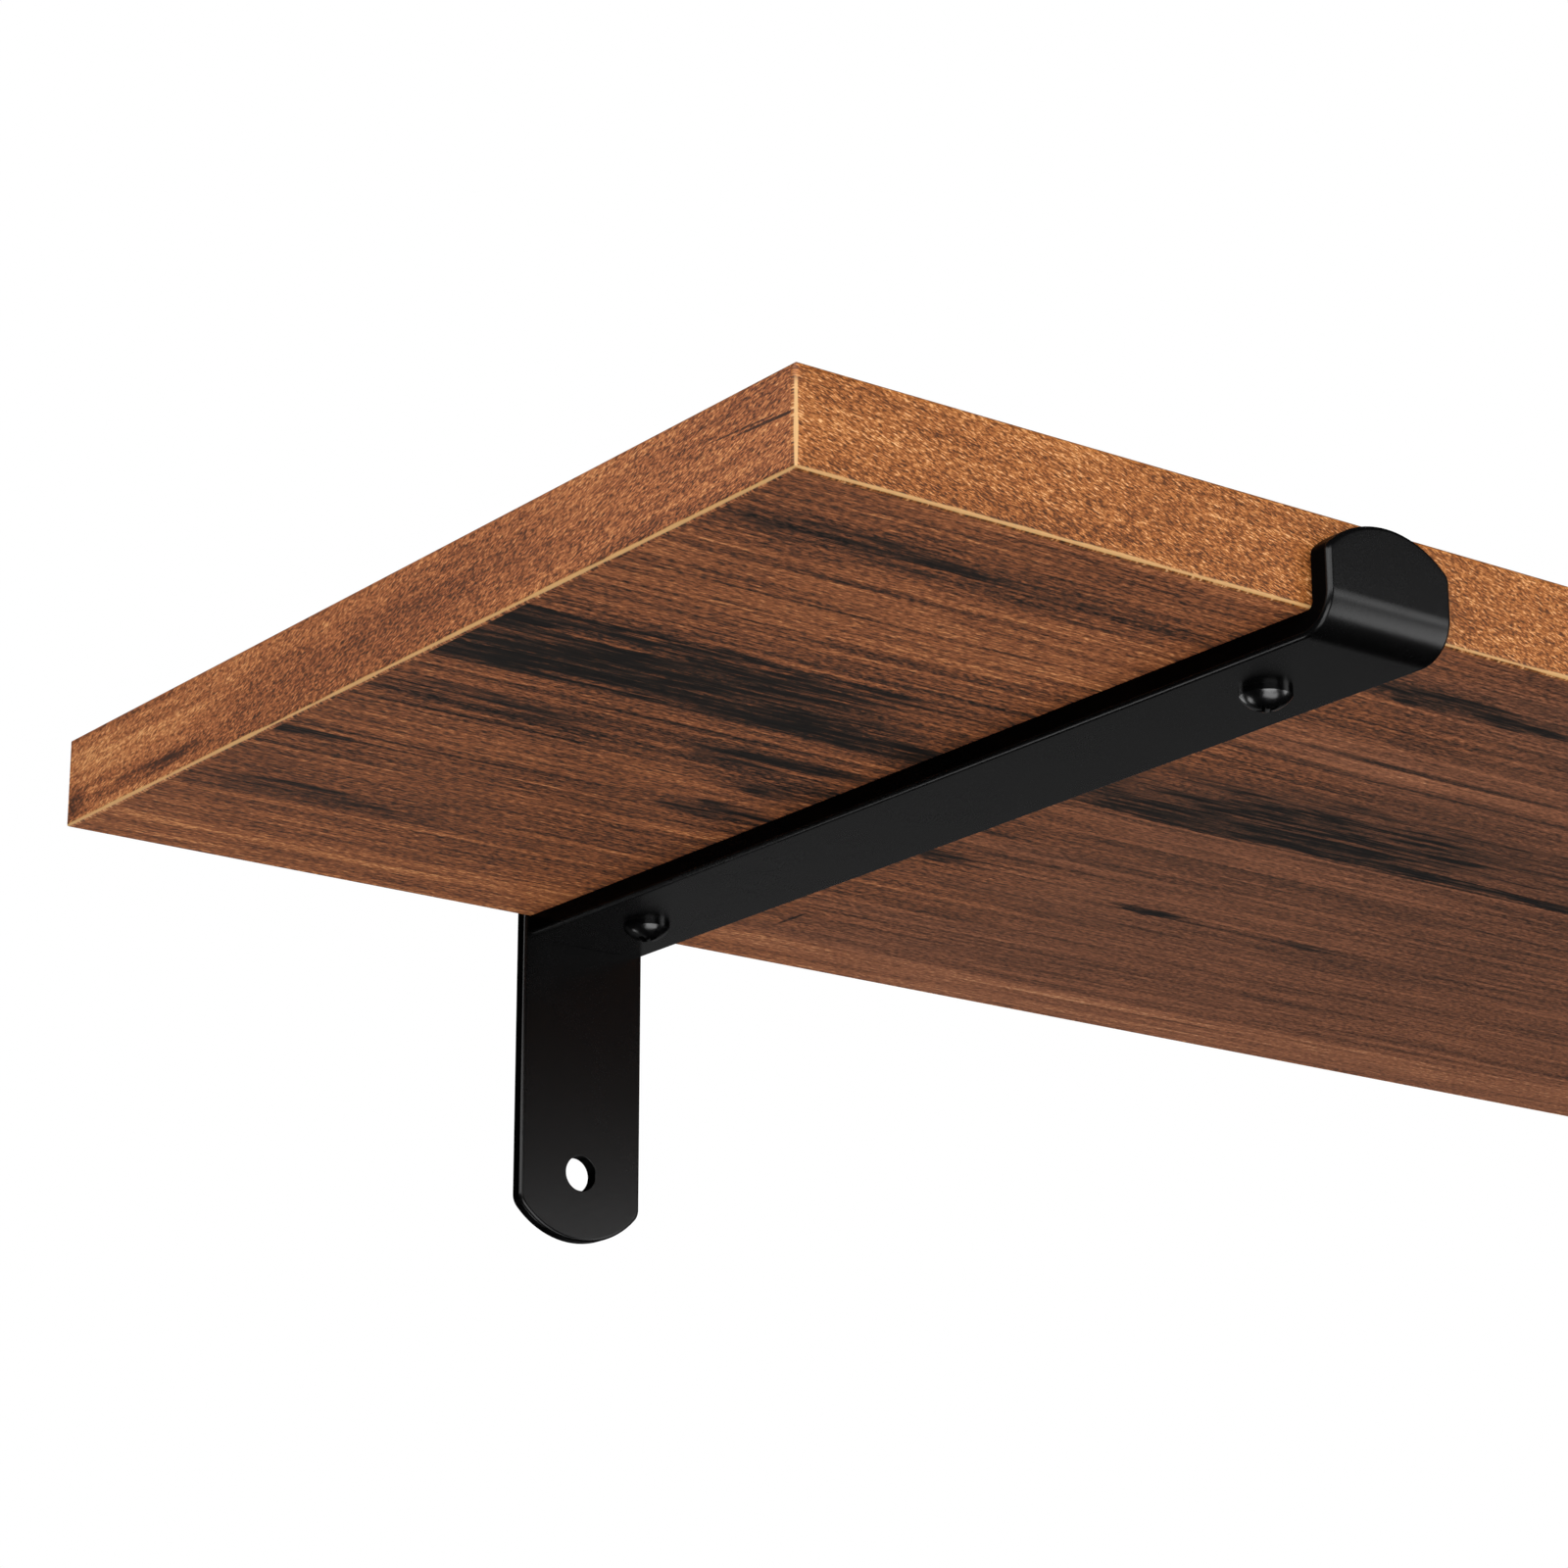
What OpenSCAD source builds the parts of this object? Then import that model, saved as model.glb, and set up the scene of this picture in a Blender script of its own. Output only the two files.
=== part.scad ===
// Wall shelf: a laminated board that lies on two flat steel brackets.
// Each bracket is a wall plate with a hooked arm welded to its front. The arm runs
// under the board and turns up in front of it, and two screws hold the board to it.
//
// Millimetres. The origin is the middle of the four wall holes, on the wall.
// +X runs along the shelf, +Y points into the wall and +Z points up.

/* [Board] */
// Length of the board along the wall
board_length = 600; // [480:10:900]
// Depth of the board from its back edge to its front edge
board_depth = 200; // [150:5:300]
// Thickness of the board with its laminates
board_t = 15; // [15:0.5:25]
// Thickness of the laminate sheets on the top and the bottom
laminate_t = 0.6; // [0.4:0.1:1]
// Thickness of the bands round the board's four edges
band_t = 1; // [0.9:0.1:2]
// Radius on the board's outer edges
arris_r = 0.8; // [0.7:0.05:0.85]

/* [Wall plates] */
// Distance from each end of the board to the middle of its bracket
bracket_inset = 102.8; // [60:0.1:150]
// Width of a wall plate
plate_width = 25; // [24:0.5:30]
// Thickness of a wall plate
plate_t = 2.5; // [2:0.1:4]
// How far a wall plate reaches above and below the board
plate_reach = 56.5; // [40:0.5:80]
// Radius of the arc across a wall plate's ends
plate_end_r = 16; // [16:0.5:30]
// Radius where that arc meets the plate's sides
plate_corner_r = 3; // [0.5:0.1:4]
// Diameter of the wall screw holes
wall_hole_d = 6.2; // [4:0.1:8]
// Distance from a wall plate's end to the middle of its hole
wall_hole_end = 12; // [9:0.5:18]

/* [Hooked arms] */
// Width of an arm
arm_width = 24; // [20:0.5:24]
// Thickness of an arm
arm_t = 3.8; // [3:0.1:5]
// Height of the hook's tip above the board's underside
hook_height = 13.7; // [12:0.1:25]
// Gap between the board's front edge and the hook
hook_gap = 0.1; // [0.1:0.1:1]
// Inner radius of the bend at the foot of the hook
bend_r = 1; // [0.5:0.1:1]
// Radius of the arc across the hook's tip
hook_end_r = 17; // [15:0.5:30]
// Radius where that arc meets the hook's sides
hook_corner_r = 2; // [0.5:0.1:3]
// Width of the tenon that passes through the wall plate
tenon_width = 14; // [8:1:16]

/* [Board screws] */
// Distance of the front screws from the board's front edge
front_screw_setback = 22.7; // [15:0.1:40]
// Distance of the rear screws from the board's back edge
rear_screw_setback = 19.4; // [12:0.1:40]
// Diameter of a screw's head
head_d = 8; // [7:0.5:9]
// Height of a screw's head
head_h = 3; // [2.4:0.1:3.6]
// Outer diameter of a screw's thread
thread_d = 4; // [3.5:0.1:4.2]
// Length of a screw under its head
screw_length = 16; // [14:0.5:16.5]

/* [Hidden] */
$fn = 64;

laminate_colour = [0.33, 0.19, 0.12];
front_band_colour = [0.55, 0.33, 0.17];
end_band_colour = [0.45, 0.26, 0.15];
core_colour = [0.74, 0.62, 0.45];
steel_colour = [0.07, 0.07, 0.07];
screw_colour = [0.03, 0.03, 0.03];

// Places in the shelf's own frame
board_top = board_t / 2;
board_bottom = -board_t / 2;
board_back = -plate_t;
board_front = board_back - board_depth;
hook_back = board_front - hook_gap;
left_x = -board_length / 2 + bracket_inset;
right_x = -left_x;
plate_height = board_t + 2 * plate_reach;
wall_hole_z = plate_height / 2 - wall_hole_end;
front_screw_y = board_front + front_screw_setback;
rear_screw_y = board_back - rear_screw_setback;

// Clearances and screw details
overcut = 1;                          // cutters run past the faces they open
arm_hole_d = thread_d + 0.6;          // clearance hole through an arm
laminate_hole_d = thread_d + 0.4;     // relief hole in the bottom laminate
thread_root_d = thread_d - 1.4;
pilot_d = thread_d - 1;               // pilot hole that the thread bites into
pilot_depth = board_t - 1.4;
thread_pitch = 1.6;
point_h = 3;                          // length of a screw's point
head_rim_h = 0.9;                     // height of the head's upright rim
recess_width = 4.2;                   // across the cross recess, wing to wing
recess_slot = 0.9;                    // width of one wing
recess_depth = 1.7;

// ---------------------------------------------------------------- outlines

// A rectangle about the origin with round corners
module rounded_rect(width, height, r) {
    square([width - 2 * r, height], center = true);
    square([width, height - 2 * r], center = true);
    for (sx = [-1, 1], sy = [-1, 1])
        translate([sx * (width / 2 - r), sy * (height / 2 - r)]) circle(r);
}

// How far below a strip's tip its two corner arcs have their centres
function end_drop(width, end_r, corner_r) =
    end_r - sqrt(pow(end_r - corner_r, 2) - pow(width / 2 - corner_r, 2));

// The end of a strip, tip at the origin, no deeper than its corner arcs: one wide arc,
// which meets the sides in two small ones
module strip_end(width, end_r, corner_r) {
    corner_x = width / 2 - corner_r;
    drop = end_drop(width, end_r, corner_r);
    far_x = corner_x * 1.5 * end_r / (end_r - drop);
    intersection() {
        translate([0, -end_r]) circle(end_r, $fn = 128);
        polygon([[-corner_x, -drop], [corner_x, -drop], [far_x, end_r / 2], [-far_x, end_r / 2]]);
    }
    for (side = [-1, 1]) translate([side * corner_x, -drop]) circle(corner_r);
}

// ---------------------------------------------------------------- the board

// The whole board as one block, every outer edge rounded
module board_blank() {
    translate([0, (board_front + board_back) / 2, 0]) intersection() {
        linear_extrude(board_t, center = true)
            rounded_rect(board_length, board_depth, arris_r);
        rotate([90, 0, 0]) linear_extrude(board_depth, center = true)
            rounded_rect(board_length, board_t, arris_r);
        rotate([90, 0, 90]) linear_extrude(board_length, center = true)
            rounded_rect(board_depth, board_t, arris_r);
    }
}

// The block inside the edge bands, from one height to another
module inner_slab(low, high) {
    translate([-board_length / 2 + band_t, board_front + band_t, low])
        cube([board_length - 2 * band_t, board_depth - 2 * band_t, high - low]);
}

// Something repeated at the four board screws
module at_screws() {
    for (x = [left_x, right_x], y = [front_screw_y, rear_screw_y])
        translate([x, y, board_bottom]) children();
}

module board_core() {
    color(core_colour) difference() {
        inner_slab(board_bottom + laminate_t, board_top - laminate_t);
        at_screws() translate([0, 0, -overcut]) cylinder(d = pilot_d, h = pilot_depth + overcut);
    }
}

module top_laminate() {
    color(laminate_colour) inner_slab(board_top - laminate_t, board_top);
}

module bottom_laminate() {
    color(laminate_colour) difference() {
        inner_slab(board_bottom, board_bottom + laminate_t);
        at_screws() translate([0, 0, -overcut])
            cylinder(d = laminate_hole_d, h = laminate_t + 2 * overcut);
    }
}

// Front and back bands run the whole length and cover the ends of the other two
module long_band(y) {
    intersection() {
        board_blank();
        translate([-board_length, y, -board_t]) cube([2 * board_length, band_t, 2 * board_t]);
    }
}

module front_edge_band() {
    color(front_band_colour) long_band(board_front);
}

module back_edge_band() {
    color(front_band_colour) long_band(board_back - band_t);
}

module end_band(x) {
    intersection() {
        rotate([90, 0, 0]) translate([0, 0, -board_back + band_t])
            linear_extrude(board_depth - 2 * band_t)
                rounded_rect(board_length, board_t, arris_r);
        translate([x, -2 * board_depth, -board_t]) cube([band_t, 3 * board_depth, 2 * board_t]);
    }
}

module left_edge_band() {
    color(end_band_colour) end_band(-board_length / 2);
}

module right_edge_band() {
    color(end_band_colour) end_band(board_length / 2 - band_t);
}

// ---------------------------------------------------------------- the brackets

// The arm's tenon, as long as the wall plate is thick; run past both faces of the
// plate, it cuts the slot that the tenon fills
module tenon(x, past = 0) {
    translate([x - tenon_width / 2, -plate_t - past, board_bottom - arm_t])
        cube([tenon_width, plate_t + 2 * past, arm_t]);
}

module wall_plate_outline() {
    straight = plate_height - 2 * end_drop(plate_width, plate_end_r, plate_corner_r);
    square([plate_width, straight], center = true);
    for (flip = [0, 1]) mirror([0, flip]) translate([0, plate_height / 2])
        strip_end(plate_width, plate_end_r, plate_corner_r);
}

module wall_plate(x) {
    color(steel_colour) difference() {
        translate([x, 0, 0]) rotate([90, 0, 0]) linear_extrude(plate_t) wall_plate_outline();
        for (z = [-wall_hole_z, wall_hole_z])
            translate([x, overcut, z]) rotate([90, 0, 0])
                cylinder(d = wall_hole_d, h = plate_t + 2 * overcut);
        tenon(x, past = overcut);
    }
}

// The hook above its bend, drawn flat: its foot is on the X axis
module hook_outline() {
    upright = hook_height - bend_r;
    straight = upright - end_drop(arm_width, hook_end_r, hook_corner_r);
    translate([-arm_width / 2, 0]) square([arm_width, straight]);
    translate([0, upright]) strip_end(arm_width, hook_end_r, hook_corner_r);
}

// A quarter of a ring: the arm's edge as it turns up into the hook
module bend_outline() {
    outer_r = bend_r + arm_t;
    intersection() {
        difference() {
            circle(outer_r);
            circle(bend_r);
        }
        translate([-outer_r, -outer_r]) square(outer_r);
    }
}

module hooked_arm(x) {
    bend_y = hook_back + bend_r;
    bend_z = board_bottom + bend_r;
    color(steel_colour) difference() {
        union() {
            translate([x - arm_width / 2, bend_y, board_bottom - arm_t])
                cube([arm_width, board_back - bend_y, arm_t]);
            translate([x - arm_width / 2, bend_y, bend_z])
                rotate([90, 0, 90]) linear_extrude(arm_width) bend_outline();
            translate([x, hook_back, bend_z])
                rotate([90, 0, 0]) linear_extrude(arm_t) hook_outline();
            tenon(x);
        }
        for (y = [front_screw_y, rear_screw_y])
            translate([x, y, board_bottom - arm_t - overcut])
                cylinder(d = arm_hole_d, h = arm_t + 2 * overcut);
    }
}

module left_wall_plate() { wall_plate(left_x); }
module right_wall_plate() { wall_plate(right_x); }
module left_hooked_arm() { hooked_arm(left_x); }
module right_hooked_arm() { hooked_arm(right_x); }

// ---------------------------------------------------------------- the board screws

// Threaded shank and point, as a half profile. The thread is a row of ridges.
module shank_profile() {
    root_r = thread_root_d / 2;
    turns = floor((screw_length - point_h) / thread_pitch);
    ridges = [for (i = [0 : turns - 1], step = [0, 1])
        [step == 0 ? root_r : thread_d / 2, screw_length - point_h - (turns - i - step / 2) * thread_pitch]];
    polygon(concat([[0, 0], [root_r, 0]], ridges, [[root_r, screw_length - point_h], [0, screw_length]]));
}

// Pan head as a half profile, hanging below the origin: upright rim, then a dome
module head_profile() {
    dome_h = head_h - head_rim_h;
    dome_r = (pow(head_d / 2, 2) + pow(dome_h, 2)) / (2 * dome_h);
    translate([0, -head_rim_h]) square([head_d / 2, head_rim_h]);
    intersection() {
        translate([0, dome_r - head_h]) circle(dome_r, $fn = 128);
        translate([0, -head_h]) square([head_d / 2, dome_h]);
    }
}

// Cross recess, cut up into the head from its tip
module cross_recess() {
    intersection() {
        for (turn = [0, 90]) rotate(turn)
            translate([-recess_width / 2, -recess_slot / 2, -overcut])
                cube([recess_width, recess_slot, recess_depth + overcut]);
        translate([0, 0, -overcut])
            cylinder(r1 = recess_width / 2 + overcut, r2 = recess_slot, h = recess_depth + overcut);
    }
}

module board_screw(x, y) {
    color(screw_colour) translate([x, y, board_bottom - arm_t]) difference() {
        union() {
            rotate_extrude() shank_profile();
            rotate_extrude() head_profile();
        }
        translate([0, 0, -head_h]) rotate(20) cross_recess();
    }
}

module left_front_screw() { board_screw(left_x, front_screw_y); }
module left_rear_screw() { board_screw(left_x, rear_screw_y); }
module right_front_screw() { board_screw(right_x, front_screw_y); }
module right_rear_screw() { board_screw(right_x, rear_screw_y); }

// ---------------------------------------------------------------- the assembly

board_core();
top_laminate();
bottom_laminate();
front_edge_band();
back_edge_band();
left_edge_band();
right_edge_band();
left_wall_plate();
left_hooked_arm();
left_front_screw();
left_rear_screw();
right_wall_plate();
right_hooked_arm();
right_front_screw();
right_rear_screw();
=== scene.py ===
"""Wall shelf on two hooked steel brackets: its finishes, rounded steel, light and camera."""
import math

import bmesh
import bpy
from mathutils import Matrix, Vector


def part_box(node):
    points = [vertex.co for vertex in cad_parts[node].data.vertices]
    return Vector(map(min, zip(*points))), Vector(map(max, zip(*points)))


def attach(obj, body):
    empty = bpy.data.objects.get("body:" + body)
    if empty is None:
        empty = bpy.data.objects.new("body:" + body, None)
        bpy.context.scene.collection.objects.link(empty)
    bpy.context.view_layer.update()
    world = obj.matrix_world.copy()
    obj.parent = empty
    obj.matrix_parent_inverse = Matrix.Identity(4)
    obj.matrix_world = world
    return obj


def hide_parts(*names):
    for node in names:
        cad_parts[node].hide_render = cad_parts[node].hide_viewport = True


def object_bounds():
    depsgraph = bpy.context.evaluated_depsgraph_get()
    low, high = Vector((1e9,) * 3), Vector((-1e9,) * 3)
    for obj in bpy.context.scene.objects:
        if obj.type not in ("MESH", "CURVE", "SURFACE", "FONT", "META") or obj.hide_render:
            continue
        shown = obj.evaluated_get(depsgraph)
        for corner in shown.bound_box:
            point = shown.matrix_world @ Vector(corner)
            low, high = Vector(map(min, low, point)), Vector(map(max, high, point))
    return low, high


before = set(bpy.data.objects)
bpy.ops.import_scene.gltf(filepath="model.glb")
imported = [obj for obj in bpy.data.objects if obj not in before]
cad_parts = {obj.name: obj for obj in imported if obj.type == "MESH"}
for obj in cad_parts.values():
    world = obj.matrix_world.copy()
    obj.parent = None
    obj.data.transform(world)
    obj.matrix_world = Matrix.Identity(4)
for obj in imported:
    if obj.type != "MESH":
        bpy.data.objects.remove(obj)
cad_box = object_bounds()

MM = 0.001

# Sizes that the CAD also uses, for the rounded steel that stands in for its sharp-edged bars.
PLATE_END_R = 16 * MM
PLATE_CORNER_R = 3 * MM
WALL_HOLE_R = 3.1 * MM
WALL_HOLE_END = 12 * MM
HOOK_END_R = 17 * MM
HOOK_CORNER_R = 2 * MM
BEND_R = 1 * MM
TENON_WIDTH = 14 * MM
SCREW_HOLE_R = 2.3 * MM

# Outer radius of the bend, and the length of bar on each side of it that takes up its extra width.
BEND_OUTER_R = 6.3 * MM
BEND_EASE = 5 * MM

# How far the arm's shoulders are sunk into the wall plate, as a share of the plate's thickness.
SHOULDER_SUNK = 0.55

# Edge rounding left by stamping and powder coating: wide on the punched side, small on the other.
ARM_EDGE_R = 0.85 * MM
PLATE_EDGE_R = 0.6 * MM
HOLE_EDGE_R = 0.1 * MM
BACK_EDGE_R = 0.15 * MM
SLOT_EDGE_R = 0.05 * MM

TIP_STEPS = 24
CORNER_STEPS = 8
ROUND_STEPS = 6
BEND_STEPS = 20
HOLE_POINTS = 48


# ---------------------------------------------------------------- node graph helper

class Num:
    """A number that varies over a surface, with ordinary arithmetic done by Math nodes."""

    def __init__(self, graph, socket):
        self.graph = graph
        self.socket = socket

    def __add__(self, other):
        return self.graph.math("ADD", self, other)

    def __sub__(self, other):
        return self.graph.math("SUBTRACT", self, other)

    def __rsub__(self, other):
        return self.graph.math("SUBTRACT", other, self)

    def __mul__(self, other):
        return self.graph.math("MULTIPLY", self, other)


class Graph:
    """One material, built up from short calls."""

    def __init__(self, name):
        self.material = bpy.data.materials.new(name)
        self.material.use_nodes = True
        tree = self.material.node_tree
        self.nodes = tree.nodes
        self.links = tree.links
        self.nodes.clear()
        self.shader = self.add("ShaderNodeBsdfPrincipled")
        out = self.add("ShaderNodeOutputMaterial")
        self.links.new(self.shader.outputs["BSDF"], out.inputs["Surface"])

    def add(self, kind, **settings):
        node = self.nodes.new(kind)
        for key, value in settings.items():
            setattr(node, key, value)
        return node

    def feed(self, socket, value):
        if isinstance(value, Num):
            self.links.new(value.socket, socket)
        else:
            socket.default_value = value

    def math(self, operation, *values, clamp=False):
        node = self.add("ShaderNodeMath", operation=operation, use_clamp=clamp)
        for socket, value in zip(node.inputs, values):
            self.feed(socket, value)
        return Num(self, node.outputs[0])

    def clamp(self, value):
        return self.math("ADD", value, 0.0, clamp=True)

    def place(self):
        """The three coordinates in millimetres, in the row frame."""
        source = self.add("ShaderNodeTexCoord")
        split = self.add("ShaderNodeSeparateXYZ")
        self.links.new(source.outputs["Object"], split.inputs[0])
        return [Num(self, socket) * (1 / MM) for socket in split.outputs]

    def vector(self, x, y, z):
        node = self.add("ShaderNodeCombineXYZ")
        for socket, value in zip(node.inputs, (x, y, z)):
            self.feed(socket, value)
        return Num(self, node.outputs[0])

    def scaled(self, vector, scale, offset=(0, 0, 0)):
        node = self.add("ShaderNodeVectorMath", operation="MULTIPLY_ADD")
        self.feed(node.inputs[0], vector)
        node.inputs[1].default_value = scale
        node.inputs[2].default_value = offset
        return Num(self, node.outputs[0])

    def noise(self, vector, scale, seed, detail, roughness=0.5):
        """Noise with its own fineness along each axis, in cycles per millimetre."""
        node = self.add("ShaderNodeTexNoise")
        moved = self.scaled(vector, scale, (seed * 7.3, seed * 3.1, seed * 5.7))
        self.feed(node.inputs["Vector"], moved)
        node.inputs["Scale"].default_value = 1.0
        node.inputs["Detail"].default_value = detail
        node.inputs["Roughness"].default_value = roughness
        return Num(self, node.outputs["Fac"])

    def step(self, value, low, high, to_low=0.0, to_high=1.0):
        """Goes smoothly from to_low at low to to_high at high."""
        node = self.add("ShaderNodeMapRange", interpolation_type="SMOOTHSTEP")
        for socket, given in zip(node.inputs, (value, low, high, to_low, to_high)):
            self.feed(socket, given)
        return Num(self, node.outputs[0])

    def band(self, value, low, high, soft):
        """1 between low and high, fading over soft at both ends."""
        rise = self.step(value, low - soft, low + soft)
        return rise * self.step(value, high - soft, high + soft, 1.0, 0.0)

    def ramp(self, value, stops):
        """Colours along a scale; each stop is its place and an 8-bit sRGB colour."""
        node = self.add("ShaderNodeValToRGB")
        points = node.color_ramp.elements
        while len(points) < len(stops):
            points.new(0.5)
        for point, (place, colour) in zip(points, stops):
            point.position = place
            point.color = rgb(*colour)
        self.feed(node.inputs[0], value)
        return Num(self, node.outputs[0])

    def mix(self, factor, first, second):
        node = self.add("ShaderNodeMix", data_type="RGBA")
        sockets = [s for s in node.inputs if s.enabled]
        for socket, value in zip(sockets, (factor, first, second)):
            self.feed(socket, value)
        return Num(self, next(s for s in node.outputs if s.enabled))

    def relief(self, height, depth, strength):
        """Bump from a height between 0 and 1 that stands for depth metres."""
        node = self.add("ShaderNodeBump")
        node.inputs["Strength"].default_value = strength
        node.inputs["Distance"].default_value = depth
        self.feed(node.inputs["Height"], height)
        self.links.new(node.outputs["Normal"], self.shader.inputs["Normal"])

    def set(self, **values):
        for name, value in values.items():
            self.feed(self.shader.inputs[name.replace("_", " ")], value)


def noise_layers(graph, vector, table):
    """Several noises over the same coordinates, by name."""
    return {name: graph.noise(vector, *settings) for name, settings in table.items()}


def blend(layers, weights):
    """Weighted sum of noise layers about their middle value."""
    parts = [(layers[name] - 0.5) * weight for name, weight in weights.items()]
    return sum(parts[1:], parts[0])


def rgb(red, green, blue):
    """Linear colour with alpha from 8-bit sRGB."""
    parts = [c / 255 for c in (red, green, blue)]
    linear = [c / 12.92 if c <= 0.04045 else ((c + 0.055) / 1.055) ** 2.4 for c in parts]
    return (*linear, 1.0)


# ---------------------------------------------------------------- wood

WOOD_TONES = (
    (0.00, (12, 9, 7)),
    (0.16, (51, 34, 22)),
    (0.30, (88, 54, 34)),
    (0.45, (129, 73, 40)),
    (0.62, (165, 95, 53)),
    (0.78, (193, 117, 66)),
    (1.00, (240, 168, 104)),
)
DULL_TONES = (
    (0.00, (15, 12, 11)),
    (0.16, (48, 36, 27)),
    (0.30, (81, 53, 37)),
    (0.45, (119, 73, 49)),
    (0.62, (155, 97, 67)),
    (0.78, (184, 119, 82)),
    (1.00, (230, 172, 126)),
)

# Colours of the edge banding, along the shelf and at its ends.
LONG_BAND_TONES = (
    (0.00, (78, 40, 11)),
    (0.30, (137, 75, 25)),
    (0.50, (174, 101, 42)),
    (0.75, (209, 138, 75)),
    (1.00, (242, 190, 130)),
)
END_BAND_TONES = (
    (0.00, (58, 34, 22)),
    (0.30, (132, 73, 42)),
    (0.50, (182, 106, 60)),
    (0.75, (216, 141, 83)),
    (1.00, (244, 188, 126)),
)
ARRIS_TAN = (226, 176, 112)
# Painted shade: dark brown for the top edge of the bands, as if no light fell on it from above.
TOP_EDGE_PAINTED_SHADE = (74, 44, 26)

# Worn strip along the board's edges: its noise, least width, what noise adds to it and its fade, in mm.
WORN_NOISE = ((0.09, 0.09, 0.09), 4, 3)
WORN_LEAST = 0.15
WORN_SPREAD = 0.5
WORN_FADE = (-0.08, 0.12)


def board_box():
    low = Vector(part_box("left_edge_band")[0])
    high = Vector(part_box("right_edge_band")[1])
    for node in ("front_edge_band", "back_edge_band"):
        lo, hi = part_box(node)
        low = Vector(map(min, low, lo))
        high = Vector(map(max, high, hi))
    return low, high


BOARD_LOW, BOARD_HIGH = board_box()


def worn_edge(graph, place, vector):
    """1 on the thin rounded edges of the board, a little uneven along their length."""
    width = graph.noise(vector, *WORN_NOISE) * WORN_SPREAD + WORN_LEAST
    near = []
    for value, low, high in zip(place, BOARD_LOW / MM, BOARD_HIGH / MM):
        off = graph.math("ABSOLUTE", value - (low + high) / 2)
        depth = (high - low) / 2 - off
        near.append(graph.step(depth - width, *WORN_FADE, 1.0, 0.0))
    pairs = near[0] * near[1] + near[1] * near[2] + near[0] * near[2]
    return graph.clamp(pairs)


def blot(graph, vector, centre, half, strength, soft):
    """An oval mark of the print: centre and half size in mm along and across the grain."""
    scale = (1 / half[0], 1 / half[1], 0)
    moved = graph.scaled(vector, scale, (-centre[0] / half[0], -centre[1] / half[1], 0))
    node = graph.add("ShaderNodeVectorMath", operation="LENGTH")
    graph.feed(node.inputs[0], moved)
    distance = Num(graph, node.outputs["Value"])
    return graph.step(distance, 1 - soft, 1 + soft, strength, 0.0)


# Marks of the print are placed in mm along the shelf from its left end and across from its front edge.
# Weathered patches, and one painted patch of light: centre, half size, strength, softness. A negative
# strength is a pale patch.
BLOTS = (
    ((33, 82), (9, 8), 0.34, 0.7),
    ((6, 68), (30, 3.2), 0.34, 0.5),
    ((74, 85), (26, 4), 0.45, 0.6),
    ((10, 87), (18, 3), 0.40, 0.6),
    ((20, 70.5), (13, 1.6), -0.70, 0.5),
    ((16, 18.5), (26, 4.5), 0.54, 0.7),
    ((52, 19), (30, 4.0), 0.40, 0.7),
    ((24, 9), (34, 2.6), 0.26, 0.7),
    ((138, 18.5), (22, 3.2), 0.72, 0.7),
    ((182, 17), (30, 3), 0.20, 0.7),
    ((152, 85.0), (28, 4.6), 0.50, 0.5),
    ((166, 79), (34, 8), 0.26, 0.6),
    ((215, 88.5), (60, 1.8), 0.70, 0.5),
    ((196, 26), (80, 22), 0.20, 0.7),
    # Painted light: a pale patch along the left arm's left side, over the shade that the arm casts.
    ((86, 44), (13, 44), -0.20, 0.8),
    ((16, 28), (26, 16), -0.10, 0.8),
    ((206, 62), (60, 4), 0.20, 0.7),
    ((24, 104), (28, 6.5), 0.52, 0.7),
    ((76, 103), (18, 4.5), 0.60, 0.7),
    ((84, 114), (10, 5), 0.62, 0.7),
    ((9, 133.0), (10, 2.8), 0.95, 0.6),
    ((80, 129), (14, 3), 0.60, 0.6),
    ((128, 126), (12, 2.2), 0.72, 0.6),
    ((178, 131.5), (10, 2.1), 0.80, 0.6),
    ((212, 133), (12, 1.4), 0.40, 0.6),
    ((22, 161), (24, 6.5), 0.52, 0.7),
    ((210, 97.5), (26, 4), 0.24, 0.7),
    ((330, 60), (46, 10), 0.50, 0.5),
    ((420, 128), (70, 9), 0.55, 0.5),
    ((470, 30), (60, 7), 0.40, 0.6),
    ((560, 84), (52, 11), 0.62, 0.4),
    ((545, 160), (48, 6), 0.36, 0.6),
    ((360, 172), (40, 5), 0.30, 0.6),
)

# Thin dark lines: centre, half size, strength.
LINES = (
    ((38, 40.6), (56, 0.40), 0.40),
    ((160, 46.3), (34, 0.9), 0.34),
    ((44, 50.9), (70, 0.30), 0.22),
    ((70, 61.5), (30, 0.8), 0.26),
    ((20, 64.6), (60, 0.45), 0.35),
    ((46, 90.0), (70, 0.35), 0.26),
    ((200, 90.8), (60, 0.45), 0.30),
    ((150, 53.5), (80, 0.35), 0.18),
    ((55, 96), (20, 0.4), 0.24),
    ((22, 112.5), (24, 0.35), 0.22),
    ((16, 129.2), (36, 0.40), 0.36),
    ((128.8, 174.0), (0.45, 4.0), 0.5),
    ((196, 133), (44, 0.35), 0.22),
    ((180, 104), (50, 0.3), 0.16),
    ((250, 118), (60, 0.3), 0.18),
    ((430, 76), (90, 0.4), 0.28),
    ((500, 110), (70, 0.35), 0.24),
)
LINE_SOFT = 0.5

# Tone of the print from the front edge to the back edge.
STRIPS = (
    (0, 0.49),
    (14, 0.46),
    (24, 0.47),
    (26, 0.53),
    (40, 0.52),
    (42, 0.57),
    (50, 0.56),
    (52, 0.48),
    (64, 0.49),
    (90, 0.45),
    (91, 0.48),
    (104, 0.44),
    (116, 0.45),
    (122, 0.49),
    (136, 0.49),
    (150, 0.51),
    (166, 0.48),
    (183, 0.51),
    (184, 0.65),
    (200, 0.63),
)
PRINT_DEPTH = 200

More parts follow.
